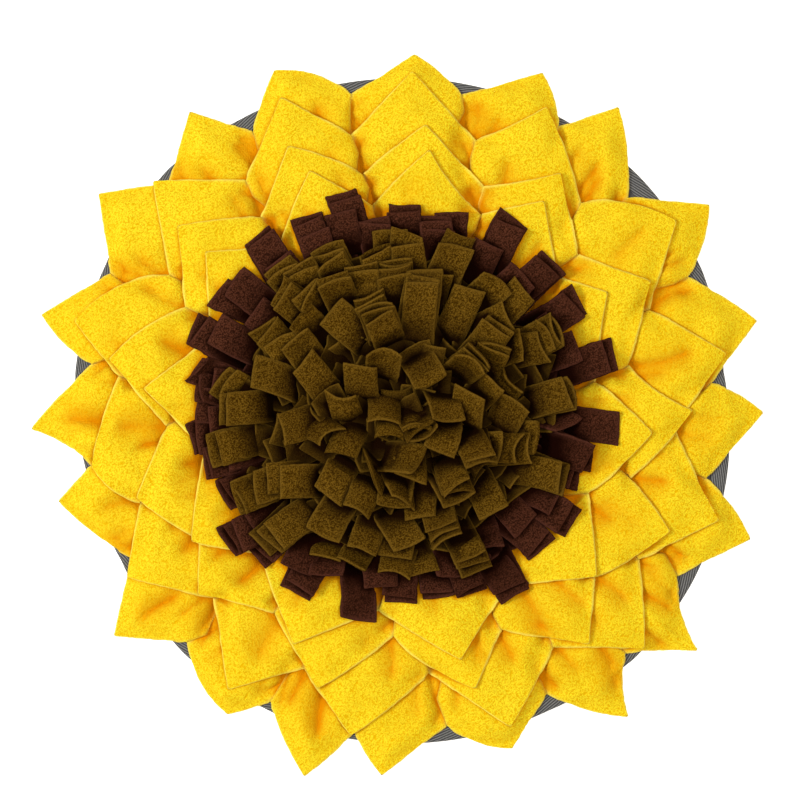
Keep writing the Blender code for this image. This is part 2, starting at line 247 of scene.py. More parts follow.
def makeBaseCloth():
    material, shader, place = newMaterial("mat_base_cloth")
    yarnTurns = 2 * math.pi / baseLook["weave"]
    turnsX = place.add("ShaderNodeSeparateXYZ", {"Vector": place}) * yarnTurns
    turnsY = place.add("ShaderNodeSeparateXYZ", {"Vector": place}, output=1) * yarnTurns
    warp = turnsX.maths("SINE", turnsX)
    weft = turnsY.maths("SINE", turnsY)
    weave = (warp * weft) * 0.5 + 0.5
    slubs = place.noise(baseLook["slubScale"], 3, 0.6)
    colour = place.mix(weave * 0.55 + slubs * 0.45, baseLook["dark"], baseLook["light"])
    bump = place.add("ShaderNodeBump", {"Height": weave, "Strength": 0.6,
                                        "Distance": baseLook["yarnHeight"]})
    finishShader(place, shader, {"Base Color": colour, "Normal": bump},
                 {"Roughness": 0.85, "Specular IOR Level": 0.2})
    return material


def surfaceNormals(grid):
    down = np.gradient(grid, axis=0)
    over = np.gradient(grid, axis=1)
    normals = np.cross(over, down)
    lengths = np.linalg.norm(normals, axis=2, keepdims=True)
    return normals / np.maximum(lengths, 1e-9)


cutEdge = {
    "rounding": 0.45,
    "bulge": 0.3,             # how far it stands out, and how much further its lower half does
    "flare": 0.3,
    "rough": 0.2,             # how uneven it is cut
    "seed": 3,
    "underShade": 0.8,         # its lower half lies in its own shade, which is painted into its colour
    # a painted highlight along the cut edge: how much of it the rows just inside, the rim and the wall get
    "paintedHighlight": {"inset": 0.2, "rim": 0.7, "wall": 0.9},
}
edgeChance = np.random.RandomState(cutEdge["seed"])


def closedSheet(grid, thickness, foldAndPaintedShade, upward=True):
    # grid is (rows, columns, 3), the cloth's upper face in mm, and fold its painted shade. Gives the
    # points, faces, painted shade values and painted edge highlight values of a closed sheet with a softly
    # rounded cut edge.
    rows, columns = grid.shape[:2]
    rough, rounding, bulge = cutEdge["rough"], cutEdge["rounding"], cutEdge["bulge"]
    normals = surfaceNormals(grid)
    if upward and normals[:, :, 2].mean() < 0:
        normals = -normals
    top = grid.reshape(-1, 3).copy()
    bottom = (grid - normals * thickness).reshape(-1, 3)
    index = np.arange(rows * columns).reshape(rows, columns)
    ring = np.concatenate([index[0, :-1], index[:-1, -1], index[-1, :0:-1], index[:0:-1, 0]])
    top[ring] -= normals.reshape(-1, 3)[ring] * rounding
    bottom[ring] += normals.reshape(-1, 3)[ring] * rounding
    middle = (top[ring] + bottom[ring]) / 2
    ahead = np.roll(middle, -1, axis=0) - np.roll(middle, 1, axis=0)
    outward = np.cross(ahead, normals.reshape(-1, 3)[ring])
    outward /= np.maximum(np.linalg.norm(outward, axis=1, keepdims=True), 1e-9)
    if (outward * (middle - middle.mean(axis=0))).sum() < 0:
        outward = -outward
    uneven = outward * edgeChance.uniform(-rough, rough, (len(ring), 1))
    top[ring] += uneven
    bottom[ring] += uneven
    upperRim = top[ring] * 0.65 + bottom[ring] * 0.35 + outward * bulge
    lowerRim = top[ring] * 0.2 + bottom[ring] * 0.8 + outward * (bulge + cutEdge["flare"])
    count = rows * columns
    points = np.concatenate([top, bottom, upperRim, lowerRim])
    corners = [index[:-1, :-1], index[1:, :-1], index[1:, 1:], index[:-1, 1:]]
    upper = np.stack(corners, axis=-1).reshape(-1, 4)
    lower = upper[:, ::-1] + count
    high = 2 * count + np.arange(len(ring))
    low = high + len(ring)
    walls = [np.stack([a, np.roll(a, -1), np.roll(b, -1), b], axis=-1)
             for a, b in ((ring, high), (high, low), (low, ring + count))]
    faces = np.concatenate([upper, lower, *walls])
    # the upper face looks along its normals, so turn everything where the grid runs the other way
    first, second, third = points[faces[0, :3]]
    if np.dot(np.cross(second - first, third - first), normals[0, 0]) < 0:
        faces = faces[:, ::-1]
    # painted shade: the upper rim takes half of it, and the lower rim lies in its own shade
    paintedShadeValues = np.concatenate([foldAndPaintedShade.ravel(), foldAndPaintedShade.ravel(), foldAndPaintedShade.ravel()[ring] * 0.5,
                                 np.full(len(ring), cutEdge["underShade"])])
    # a painted highlight just inside the cut edge, on its rim and on its wall
    edgeHighlight = np.zeros(len(points))
    inset = np.concatenate([index[1, 1:-1], index[-2, 1:-1], index[1:-1, 1], index[1:-1, -2]])
    edgeHighlight[inset] = cutEdge["paintedHighlight"]["inset"]
    edgeHighlight[ring] = cutEdge["paintedHighlight"]["rim"]
    edgeHighlight[ring + count] = cutEdge["paintedHighlight"]["rim"]
    edgeHighlight[high] = cutEdge["paintedHighlight"]["wall"]
    return points, faces, paintedShadeValues, edgeHighlight


def joinSheets(parts):
    # many sheets as one: a list of what closedSheet gives becomes one of the same
    # each sheet's painted shade and painted edge highlight go along with its points
    points, faces, foldsAndPaintedShade, edgeHighlights = [], [], [], []
    start = 0
    for partPoints, partFaces, partShade, partHighlight in parts:
        points.append(partPoints)
        faces.append(partFaces + start)
        foldsAndPaintedShade.append(partShade)
        edgeHighlights.append(partHighlight)
        start += len(partPoints)
    return [np.concatenate(values) for values in (points, faces, foldsAndPaintedShade, edgeHighlights)]


def meshPiece(name, mesh, material, slot, node):
    mesh.materials.append(material)
    mesh.shade_smooth()
    mesh.set_sharp_from_angle(angle=math.radians(50))
    piece = bpy.data.objects.new(name, mesh)
    bpy.context.scene.collection.objects.link(piece)
    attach(piece, "root")
    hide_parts(node)
    return piece


def sheetObject(name, sheetData, material, slot, node):
    points, faces, foldAndPaintedShade, edge = sheetData
    mesh = bpy.data.meshes.new(name)
    mesh.from_pydata((points * mm).tolist(), [], faces.tolist())
    # the painted shade and the painted highlight of the cut edges, which the fleece material reads
    for label, values in (("foldAndPaintedShade", foldAndPaintedShade), ("edge", edge)):
        layer = mesh.attributes.new(label, "FLOAT", "POINT")
        layer.data.foreach_set("value", np.ascontiguousarray(values, dtype=np.float32))
    return meshPiece(name, mesh, material, slot, node)


# A heap is a map of how high what already lies on the mat reaches, so that each sheet is laid on those
# below.
heapGrid = {"reach": 270, "step": 1.0}
heapSide = int(2 * heapGrid["reach"] / heapGrid["step"]) + 1
heapAxis = np.linspace(-heapGrid["reach"], heapGrid["reach"], heapSide)
heapX, heapY = np.meshgrid(heapAxis, heapAxis, indexing="ij")


def heapCell(x, y):
    step = heapGrid["step"]
    return (np.clip((x + heapGrid["reach"]) / step, 0, heapSide - 1.001),
            np.clip((y + heapGrid["reach"]) / step, 0, heapSide - 1.001))


def readHeap(field, x, y):
    column, row = heapCell(x, y)
    i, j = column.astype(int), row.astype(int)
    fi, fj = column - i, row - j
    return (field[i, j] * (1 - fi) * (1 - fj) + field[i + 1, j] * fi * (1 - fj)
            + field[i, j + 1] * (1 - fi) * fj + field[i + 1, j + 1] * fi * fj)


def blurHeap(field, width):
    waves = np.fft.fftfreq(heapSide, heapGrid["step"])
    weight = np.exp(-2 * (math.pi * width * waves) ** 2)
    return np.fft.ifft2(np.fft.fft2(field) * weight[:, None] * weight[None, :]).real


def widenHeap(field, cells):
    out = field
    for _ in range(cells):
        padded = np.pad(out, 1, mode="edge")
        out = np.maximum.reduce([padded[1:-1, 1:-1], padded[2:, 1:-1], padded[:-2, 1:-1], padded[1:-1, 2:],
                                 padded[1:-1, :-2]])
    return out


def layOnHeap(field, grid, finer=4):
    # raises the heap to a sheet's upper face, read at finer points for each of its rows and columns
    rows, columns = grid.shape[:2]
    v = np.linspace(0, rows - 1, rows * finer)
    u = np.linspace(0, columns - 1, columns * finer)
    i, j = np.minimum(v.astype(int), rows - 2), np.minimum(u.astype(int), columns - 2)
    fv, fu = (v - i)[:, None, None], (u - j)[None, :, None]
    fine = (grid[i][:, j] * (1 - fv) * (1 - fu) + grid[i + 1][:, j] * fv * (1 - fu)
            + grid[i][:, j + 1] * (1 - fv) * fu + grid[i + 1][:, j + 1] * fv * fu).reshape(-1, 3)
    column, row = heapCell(fine[:, 0], fine[:, 1])
    np.maximum.at(field, (np.rint(column).astype(int), np.rint(row).astype(int)), fine[:, 2])


# where the rim of the base lies, as (clock, reach)
rimTable = [
    (0, 227.5), (46, 228), (65, 226.5), (83, 221.5), (101, 226.5), (121, 230.5), (137, 232), (154, 228),
    (189, 227), (205, 224), (222, 223), (242, 217.5), (260, 220), (277, 225), (296, 226), (316, 230),
    (331, 228),
]


def rimReach(clock):
    clocks, reaches = zip(*rimTable)
    return np.interp(clock, clocks, reaches, period=360)


baseSheet = {
    "thickness": 3.0,
    "step": 1.3,              # the underside is raised here, so that the webbing lies level with it
    "gap": 0.3,
    "around": 360,
    "flatReach": 60,          # in from the rim, where both faces are already flat
    "deepReach": 150,
}
bindingCloth = {"thickness": 1.0, "leg": 11.0, "around": 960}


def turnedPiece(name, section, around, closed, material, slot, node, uv=False):
    # section is (distance in from the rim, height) in mm; each point follows the uneven rim
    clocks = np.arange(around) * 360 / around
    reach = rimReach(clocks)
    section = np.array(section, float)
    radius = reach[:, None] - section[None, :, 0]
    spots = direction(clocks)[:, None, :] * radius[:, :, None]
    heights = np.broadcast_to(section[None, :, 1], radius.shape)
    grid = np.concatenate([spots, heights[:, :, None]], axis=2)
    count = len(section)
    index = np.arange(around * count).reshape(around, count)
    after = np.roll(index, -1, axis=0)
    pairs = [(k, (k + 1) % count) for k in range(count if closed else count - 1)]
    faces = [(int(index[a, k]), int(after[a, k]), int(after[a, m]), int(index[a, m]))
             for a in range(around) for k, m in pairs]
    points = grid.reshape(-1, 3).tolist()
    if not closed:
        for end, turn in ((0, 1), (count - 1, -1)):
            middle = len(points)
            points.append([0, 0, section[end, 1]])
            for a in range(around):
                face = (int(index[a, end]), middle, int(after[a, end]))
                faces.append(face if turn == 1 else face[::-1])
    mesh = bpy.data.meshes.new(name)
    mesh.from_pydata([[value * mm for value in point] for point in points], [], faces)
    shape = bmesh.new()
    shape.from_mesh(mesh)
    bmesh.ops.recalc_face_normals(shape, faces=shape.faces)
    if uv:
        layer = shape.loops.layers.uv.new("cloth")
        runs = np.concatenate([[0], np.cumsum(np.linalg.norm(np.diff(section, axis=0), axis=1))])
        rim = polar(clocks, reach)
        along = np.concatenate([[0], np.cumsum(np.linalg.norm(np.diff(rim, axis=0), axis=1))])
        whole = along[-1] * around / (around - 1)
        for face in shape.faces:
            stations = [vert.index // count for vert in face.verts]
            wraps = max(stations) - min(stations) > 1
            legs = [vert.index % count for vert in face.verts]
            turns = max(legs) - min(legs) > 1
            for loop in face.loops:
                station, leg = divmod(loop.vert.index, count)
                u = whole if wraps and station == 0 else along[station]
                v = runs[-1] + 1 if turns and leg == 0 else runs[leg]
                loop[layer].uv = (u * mm, v * mm)
    shape.to_mesh(mesh)
    shape.free()
    return meshPiece(name, mesh, material, slot, node)


print("base and binding")
edgeIn = bindingCloth["thickness"] + baseSheet["gap"]
legIn = bindingCloth["leg"] + baseSheet["gap"]
baseTop, step = baseSheet["thickness"], baseSheet["step"]
flatIn, deepIn = baseSheet["flatReach"], baseSheet["deepReach"]
basePiece = turnedPiece("base_sheet", [
    (deepIn, 0), (flatIn, 0), (legIn + 0.6, 0), (legIn, 0.5), (legIn, step), (edgeIn + 0.4, step),
    (edgeIn, step + 0.4), (edgeIn, baseTop - 0.5), (edgeIn + 0.5, baseTop), (flatIn, baseTop),
    (deepIn, baseTop)], baseSheet["around"], False, makeBaseCloth(), "base_fabric", "base")

thick, leg, high = bindingCloth["thickness"], bindingCloth["leg"], baseTop + baseSheet["gap"]
outer = [(leg - 0.3, 0), (7, 0), (3, 0), (0.9, 0), (0.25, 0.35), (0, 1.1), (0, high + thick - 1.1),
         (0.25, high + thick - 0.35), (0.9, high + thick), (3, high + thick), (7, high + thick),
         (leg - 0.3, high + thick), (leg, high + thick - 0.3)]
inner = [(leg, high), (7, high), (thick + 0.4, high), (thick, high - 0.4), (thick, thick + 0.4),
         (thick + 0.4, thick), (7, thick), (leg, thick), (leg, 0.3)]
bindingPiece = turnedPiece("webbing_binding", outer + inner, bindingCloth["around"], True, makeWebbing(),
                           "webbing", "binding", uv=True)

rimThere = rimReach(np.degrees(np.arctan2(heapX, heapY)) % 360)
heap = np.where(np.hypot(heapX, heapY) < rimThere, high + 0.1, 0.0)
heap = np.where(np.hypot(heapX, heapY) > rimThere - leg - 1, np.where(heap > 0, high + thick, 0.0), heap)


# tip, how far its left and right edges bow outward, the notch on its clockwise side, a point on the seam
# that runs in from that notch, and whether this petal lies over the next one there (1) or under it (-1)
Petal = namedtuple("Petal", "tipClock tipReach leftBow rightBow "
                            "notchClock notchReach seamClock seamReach over")
outerPetals = [Petal(*row) for row in (
    (2, 243.4, 0, 2, 10.8, 219.6, 11.9, 208.8, 1), (22.5, 249.6, 0, 2.5, 28.9, 221.7, 28.6, 207.4, 1),
    (35.5, 254.3, 0, 3, 46.5, 212.2, 46.2, 204.0, -1), (56.2, 252.3, 0, 3, 65, 215.6, 65.1, 204.0, 1),
    (75.7, 249.6, 1.5, 0, 84.7, 212.2, 86.5, 202.6, -1),
    (90.3, 246.2, 2, 0, 102.6, 212.8, 102.4, 204.0, 1),
    (110.2, 253.0, 3, 0, 120.8, 219.0, 118.3, 204.0, -1),
    (129.1, 259.1, -4, -1, 137.2, 225.1, 137.2, 214.2, -1),
    (143.6, 259.1, -3, 3, 152.8, 216.9, 152.6, 208.1, -1), (162, 242.1, 0, 4, 172, 216.9, 173.2, 198, 1),
    (183.2, 248.9, 0, 1, 188.5, 221.7, 188.5, 210.8, 1),
    (195, 257.7, 1, 2, 204.5, 217.6, 203.9, 202.6, 1), (210, 238.7, 1, 5.5, 222.8, 215.6, 221, 202.6, -1),
    (232, 248.9, 0, 0, 241.5, 210.8, 242, 204.0, -1), (255.2, 242.1, 2, 0, 260.2, 215.6, 259.8, 204.0, 1),
    (267.3, 253.0, -3, 1, 278.5, 214.2, 279.6, 206.0, -1),
    (285, 254.3, 3, 0, 295.4, 220.3, 294.6, 207.4, 1),
    (305.6, 254.3, 0, 0, 314.5, 223.0, 314.5, 210.8, -1),
    (324.6, 250.2, 0, 0, 331.8, 216.2, 331, 204.0, -1),
    (339.5, 248.2, 1, 5.5, 351, 219.0, 350.3, 207.4, 1))]
secondPetals = [Petal(*row) for row in (
    (1.7, 231.2, 0, 0, 15, 191.1, 15, 178.2, -1), (25.5, 229.2, -1.5, 2, 40.5, 187.0, 41.2, 178.2, -1),
    (55.2, 227.1, 6, 0, 67.5, 182.2, 67.5, 173.4, -1), (80, 224.4, 0, 0.5, 93, 185.0, 94, 178.2, 1),
    (109, 227.8, -1, 0, 122.2, 190.4, 121.5, 180.2, 1),
    (134.5, 231.2, 1, -1, 147.5, 191.1, 147, 182.2, 1), (161, 227.1, 1, 0, 174, 179.5, 174, 170.0, -1),
    (189, 223.7, 1.5, 0, 201, 187.7, 201, 178.2, 1), (212, 223.0, 0, 0, 225, 180.9, 225, 171.4, -1),
    (239, 219.0, 0, 0, 250.5, 189.0, 253.5, 178.2, -1), (260, 214.9, 4, 2, 277, 193.8, 276, 182.2, -1),
    (285.5, 231.2, 1, 8, 300.5, 183.6, 300.6, 175.4, 1),
    (312.8, 231.2, 0, 0, 325.8, 189.7, 325.1, 178.2, -1),
    (338.8, 228.5, 0, 0, 349.8, 191.1, 350.6, 178.2, 1))]
thirdPetals = [Petal(*row) for row in (
    (4.7, 194.5, 1, 0, 20, 161.8, 20.2, 151.0, -1), (33.7, 193.8, -1, 0, 48.5, 159.8, 48, 149.6, 1),
    (62.5, 190.4, 0, 0, 78.8, 157.1, 79.5, 151.0, 1), (90, 197.2, -3, 2, 106.3, 161.8, 104.8, 153.7, -1),
    (114.3, 199.2, 1, 2, 131, 173.4, 131, 163.2, 1), (141.3, 202.6, 0, 0, 155.8, 163.2, 156.2, 152.3, 1),
    (165.3, 194.5, 0, 4, 182.5, 153.0, 182.3, 144.2, 1),
    (197, 197.2, 1.5, 0, 212.5, 162.5, 212.5, 153.0, 1),
    (228, 186.3, -1, 0, 237.5, 163.2, 237.5, 153.0, -1),
    (251.8, 189.7, 1, 0, 266.5, 160.5, 267.5, 155.0, 1),
    (280, 202.0, 0, 4, 295.5, 163.2, 295.5, 153.7, -1),
    (309.5, 197.2, 0, 1, 324.2, 163.2, 324.3, 153.7, 1),
    (336.8, 195.2, 0, 2, 350.8, 163.2, 351.8, 153.7, 1))]
innerPetals = [Petal(*row) for row in (
    (6, 177.5, 1, -3, 22, 144.2, 22.3, 132.6, 1), (34, 171.4, 0, 0, 49, 139.4, 50, 129.2, 1),
    (60, 160.5, 0, -1, 81, 132.6, 82.5, 123.8, -1), (95, 170.0, 1, 2, 114, 138.0, 118, 123.8, 1),
    (130.5, 172.7, 1, 0, 149, 138.0, 150, 127.8, 1), (166.7, 172.7, 0, 1, 187, 136.0, 186, 126.5, 1),
    (205, 174.1, 0, 1, 225, 136.0, 224, 127.8, 1), (238.3, 168.0, 1, 1, 259, 136.0, 258, 127.8, 1),
    (275, 175.4, 0, 0, 291, 139.4, 291, 130.6, -1), (309, 170.7, 0, 0, 323, 139.4, 324, 132.6, -1),
    (339, 174.1, 1, 0, 352, 141.4, 352.5, 132.6, 1))]
# a trough (or with a negative depth a ridge) that runs out along one clock angle of a ring, from start to
# end as reaches
Fold = namedtuple("Fold", "clock start end depth width")
foldsAndPaintedShade = {
    "outer": [Fold(*row) for row in (
        (13, 197, 218, 2, 6.1), (15, 192, 212, 4, 6.1), (18.5, 199, 208, 2.5, 6.8),
        (35, 201, 216, 2.5, 6.8), (38.8, 192, 212, 3.5, 5.4), (41.2, 193, 205, 3, 4.1),
        (60.2, 197, 212, 3, 4.1), (61.6, 197, 216, 2.5, 3.4), (67.5, 185, 212, 3.5, 5.4),
        (92, 197, 218, 1.2, 5.4), (95, 189, 212, 2, 6.8), (104.5, 205, 219, 1.5, 4.8),
        (117.6, 201, 216, 4, 4.8), (122.3, 192, 204, 2.5, 4.1), (124, 204, 235, 2, 5.4),
        (127.2, 199, 226, 3.5, 5.4), (129.4, 216, 259, -1.3, 3.0), (132.5, 212, 246, 2.4, 4.1),
        (141, 215, 239, 4, 7.5), (146.5, 193, 212, 2.5, 5.4), (151.3, 201, 214, 4, 4.8),
        (169.5, 186, 204, 2.4, 4.1), (177.2, 186, 206, 2.2, 6.1), (195.5, 196, 227, 4.5, 6.8),
        (201, 190, 212, 4, 5.4), (203.2, 197, 216, 2, 2.7), (207, 204, 216, 1.5, 4.8),
        (218, 205, 216, 1.8, 5.4), (223.3, 182, 203, 4, 6.1), (227, 190, 205, 2.2, 2.7),
        (231.5, 203, 227, 4, 6.1), (244, 203, 218, 3.5, 6.8), (246.5, 208, 218, 2, 4.8),
        (252, 192, 214, 2.5, 6.1), (256.2, 181, 194, 4.5, 5.4), (264.2, 203, 235, -1.6, 3.4),
        (268.7, 199, 228, 4.5, 7.5), (276, 190, 204, 2, 4.8), (293, 208, 226, 2, 6.1),
        (297.5, 204, 219, 3.5, 6.1), (300.5, 194, 207, 2.5, 4.8), (317, 205, 227, 4.5, 6.8),
        (320.5, 201, 212, 2.5, 5.4), (328.6, 193, 212, 4, 5.4), (330.3, 204, 218, 3, 4.1),
        (344.5, 203, 216, 3, 6.8), (353, 194, 207, 2, 5.4))],
    "second": [Fold(*row) for row in (
        (12, 171, 189, 2.5, 6.1), (24, 173, 182, 3, 6.8), (42.5, 178, 197, -1.5, 4.8),
        (54, 182, 205, 2, 6.1), (79.5, 162, 199, 3.5, 6.8), (82.5, 166, 178, 2, 5.4),
        (106, 163, 186, 3.5, 6.8), (100, 167, 184, 1.5, 5.4), (131, 171, 199, 3, 6.8),
        (138, 182, 196, 2, 6.1), (157, 166, 185, 3.5, 6.8), (177, 174, 185, 1.5, 5.4),
        (183.2, 163, 180, 3, 6.1), (211, 167, 193, 3, 9.5), (238, 165, 175, 4, 6.1),
        (243, 165, 174, 3, 5.4), (262.4, 163, 178, 4, 4.1), (267, 169, 193, 3.5, 8.8),
        (283, 189, 205, 2, 6.1), (296, 173, 194, 2.5, 5.4), (322, 169, 185, 3, 6.1),
        (328.6, 171, 186, 3.5, 6.1), (345, 171, 184, 1.5, 5.4))],
    "third": [Fold(*row) for row in (
        (17.5, 144, 158, 3.5, 6.1), (22, 143, 162, 3.5, 6.1), (52, 141, 163, 2.5, 8.2),
        (87, 144, 156, 2, 6.1), (118, 140, 158, 3.5, 6.8), (116, 154, 178, 2, 8.2),
        (137.5, 151, 178, 3, 6.1), (147.5, 151, 185, 3.5, 7.5), (162, 160, 178, 3.5, 6.1),
        (190, 144, 163, 1.5, 8.2), (224, 137, 160, 4, 6.1), (232, 137, 160, 4, 5.4),
        (249, 146, 160, 1.8, 5.4), (256.6, 135, 151, 4, 5.4), (253, 143, 160, 2, 6.1),
        (286.5, 148, 169, 4, 6.8), (305, 151, 167, 2, 6.1), (330, 144, 160, 2.5, 6.1),
        (345, 151, 167, 1.5, 5.4))],
    "inner": [Fold(*row) for row in (
        (3, 133, 154, 1.5, 8.2), (18, 126, 144, 2, 6.1), (40, 120, 146, 2.5, 6.1), (58, 133, 146, 1.5, 6.8),
        (88, 120, 136, 2, 6.1), (104, 126, 146, 1.5, 8.2), (139, 103, 133, 2.5, 8.2),
        (171, 121, 140, 2, 6.8), (210, 133, 151, 2.5, 6.8), (240, 129, 146, 1.5, 6.8),
        (247, 129, 143, 1.5, 5.4), (271, 140, 155, 1.5, 6.8), (305, 141, 154, 2, 6.8),
        (335, 140, 154, 1.8, 6.8))],
}
# how high each ring's underside lies, out from its sewn root
ringHeights = {
    "outer": [(165, 3.6), (182, 7.0), (200, 8.2), (225, 7.0), (260, 5.0)],
    "second": [(140, 3.6), (155, 8.5), (170, 12.5), (190, 14.4), (210, 14.4), (236, 12.6)],
    "third": [(118, 3.6), (130, 8.5), (145, 14.0), (165, 18.4), (185, 20.6), (206, 20.4)],
    "inner": [(98, 4.2), (108, 9.0), (120, 14.5), (135, 19.5), (150, 22.8), (180, 26.5)],
}
Ring = namedtuple("Ring", "name petals root cut")
rings = [Ring("outer", outerPetals, 165, 0.068), Ring("second", secondPetals, 140, 0.080),
         Ring("third", thirdPetals, 118, 0.076), Ring("inner", innerPetals, 98, 0.072)]
petalCloth = {
    "thickness": 2.1,
    "rows": 48,
    "columns": 40,
    "notchShare": 0.56,       # how far along a petal its notches are
    "rootShare": 0.74,        # how much of its width a petal keeps at the pinched root
    "tuck": 7.0,              # how far a petal runs on under its neighbour
    "tuckDepth": 3.0,
    "overlap": 0.4,           # and how far past the seam where it lies over
    "tipWidth": 0.7,
    "crown": 3.4,             # the bulge between its sides, and the share of it that is lost at the tip
    "crownLoss": 0.45,
    "shoulderHeight": 1.6,    # one soft swell beside each notch
    "pinchDepth": 2.2,        # the trough down the middle of the root
    "edgeRise": 17.0,         # from a free edge to where the petal is at its full height
    "shoulder": 11.0,         # the same where a side bends down to its neighbour
    "rest": 1.0,              # how close the free edges lie on what is below
    "leastLift": 0.6,         # how far a petal stands above what is below, at least
    "unevenness": 0.45,       # each petal has three soft waves of its own
    "waveLength": (24, 44),
    "meander": 1.6,           # how far a fold runs off its clock angle
    "seed": 20,
}


def spacedShares(count, fine=0.014):
    # even shares, with two more lines close to each end for the cut edge
    inner = np.linspace(0, 1, count - 2)[1:-1]
    return np.concatenate([[0, fine, 2.5 * fine], inner[(inner > 3.5 * fine) & (inner < 1 - 3.5 * fine)],
                           [1 - 2.5 * fine, 1 - fine, 1]])


def sideCurve(reach, rootClock, rootReach, notch, seam, shift):
    # clock angles of a petal's side at the given reaches, from its root out to its notch
    stations = [rootReach, min(seam[1], notch[1] - 4), notch[1]]
    clock = np.interp(reach, stations, [rootClock, seam[0], notch[0]])
    hidden = ease(notch[1] - reach, 0.5, 12)
    return clock + np.degrees(shift * hidden / reach)


def petalOutline(ring, before, petal):
    # the shares of its rows, its left and right side as points, and the clock angle of its tip
    left = (before.notchClock, before.notchReach)
    leftSeam = (before.seamClock, before.seamReach)
    right = (petal.notchClock, petal.notchReach)
    rightSeam = (petal.seamClock, petal.seamReach)
    if left[0] > right[0]:
        left = (left[0] - 360, left[1])
        leftSeam = (leftSeam[0] - 360, leftSeam[1])
    tipClock = petal.tipClock - 360 if petal.tipClock > right[0] + 90 else petal.tipClock
    middle = (left[0] + right[0]) / 2
    half = (right[0] - left[0]) / 2 * petalCloth["rootShare"]
    share = petalCloth["notchShare"]
    rows = np.concatenate([np.linspace(0, share, petalCloth["rows"] // 2, endpoint=False),
                           share + (1 - share) * spacedShares(petalCloth["rows"] // 2)])
    toNotch = np.clip(rows / share, 0, 1)
    toTip = np.clip((rows - share) / (1 - share), 0, 1)
    sides = []
    # a petal that lies under its neighbour runs on under it, and one that lies over stops at the seam
    for notch, seam, rootClock, bow, sign, over in (
            (left, leftSeam, middle - half, petal.leftBow, -1, -before.over),
            (right, rightSeam, middle + half, petal.rightBow, 1, petal.over)):
        shift = sign * petalCloth["tuck" if over < 0 else "overlap"]
        reach = ring.root + (notch[1] - ring.root) * toNotch
        spots = polar(sideCurve(reach, rootClock, ring.root, notch, seam, shift), reach)
        tip = polar(np.array(tipClock), np.array(petal.tipReach))
        start = polar(np.array(notch[0]), np.array(notch[1]))
        across = direction(tipClock + 90) * sign * petalCloth["tipWidth"] / 2
        edge = tip + across - start
        length = np.linalg.norm(edge)
        outward = np.array([-edge[1], edge[0]]) / length * -sign
        line = start + edge * toTip[:, None]
        line = line + outward * (4 * bow * toTip * (1 - toTip))[:, None]
        spots = np.where((toTip > 0)[:, None], line, spots)
        sides.append(spots)
    return rows, sides[0], sides[1], tipClock


def petalLift(u, v, width, overLeft, overRight):
    # how much of its full height a petal has at each point, and how far it sinks under its neighbours
    share, tuck = petalCloth["notchShare"], petalCloth["tuck"]
    free = ease(v, share - 0.10, share + 0.06)
    lift = 1.0
    sink = 0.0
    for distance, over in ((u * width, overLeft), ((1 - u) * width, overRight)):
        side = roundOver(distance, petalCloth["shoulder"])
        if over < 0:
            side = ease(distance, tuck * 0.6, tuck + petalCloth["shoulder"])
            under = 1 - ease(distance, tuck * 0.9, tuck * 1.6)
            sink = sink + petalCloth["tuckDepth"] * (1 - free) * under
        edge = ease(distance * 0.75, 0, petalCloth["edgeRise"])
        lift = lift * (side * (1 - free) + edge * free)
    return lift, sink


def petalSwell(u, v):
    # the crown, the swells beside the notches and the pinch of the root
    crown = petalCloth["crown"] * ease(v, 0.05, 0.45) * (1 - petalCloth["crownLoss"] * ease(v, 0.6, 1))
    beside = gauss(u - 0.2, 0.14) + gauss(u - 0.8, 0.14)
    shoulders = petalCloth["shoulderHeight"] * beside * gauss(v - 0.42, 0.16)
    pinch = petalCloth["pinchDepth"] * gauss(u - 0.5, 0.12) * (1 - ease(v, 0.15, 0.5))
    return crown, shoulders, pinch


def foldsThere(ring, reach, clock, tipClock, span):
    # depth of the folds and how much painted shade they put into the colour, for those that run within span
    # degrees of the tip
    creases = np.zeros_like(reach)
    paintedCreaseShade = np.zeros_like(reach)
    for foldAndPaintedShade in foldsAndPaintedShade[ring.name]:
        if abs((foldAndPaintedShade.clock - tipClock + 180) % 360 - 180) > span:
            continue
        turn = (clock - foldAndPaintedShade.clock + 180) % 360 - 180
        off = np.radians(turn) * reach + petalCloth["meander"] * np.sin(reach / 9 + foldAndPaintedShade.clock)
        run = ease(reach, foldAndPaintedShade.start - 12, foldAndPaintedShade.start) * (1 - ease(reach, foldAndPaintedShade.end - 4, foldAndPaintedShade.end + 10))
        crease = gauss(off, foldAndPaintedShade.width) * 0.65 + gauss(off + foldAndPaintedShade.width * 0.3, foldAndPaintedShade.width * 0.4) * 0.5
        creases = creases + foldAndPaintedShade.depth * 1.15 * crease * run
        # painted shade in and beside each crease
        paintedCreaseShade = paintedCreaseShade + foldAndPaintedShade.depth * (0.5 * crease + 0.65 * gauss(off, foldAndPaintedShade.width * 1.7)) * run
    return creases, np.clip(paintedCreaseShade / 5.0, 0, 0.85)


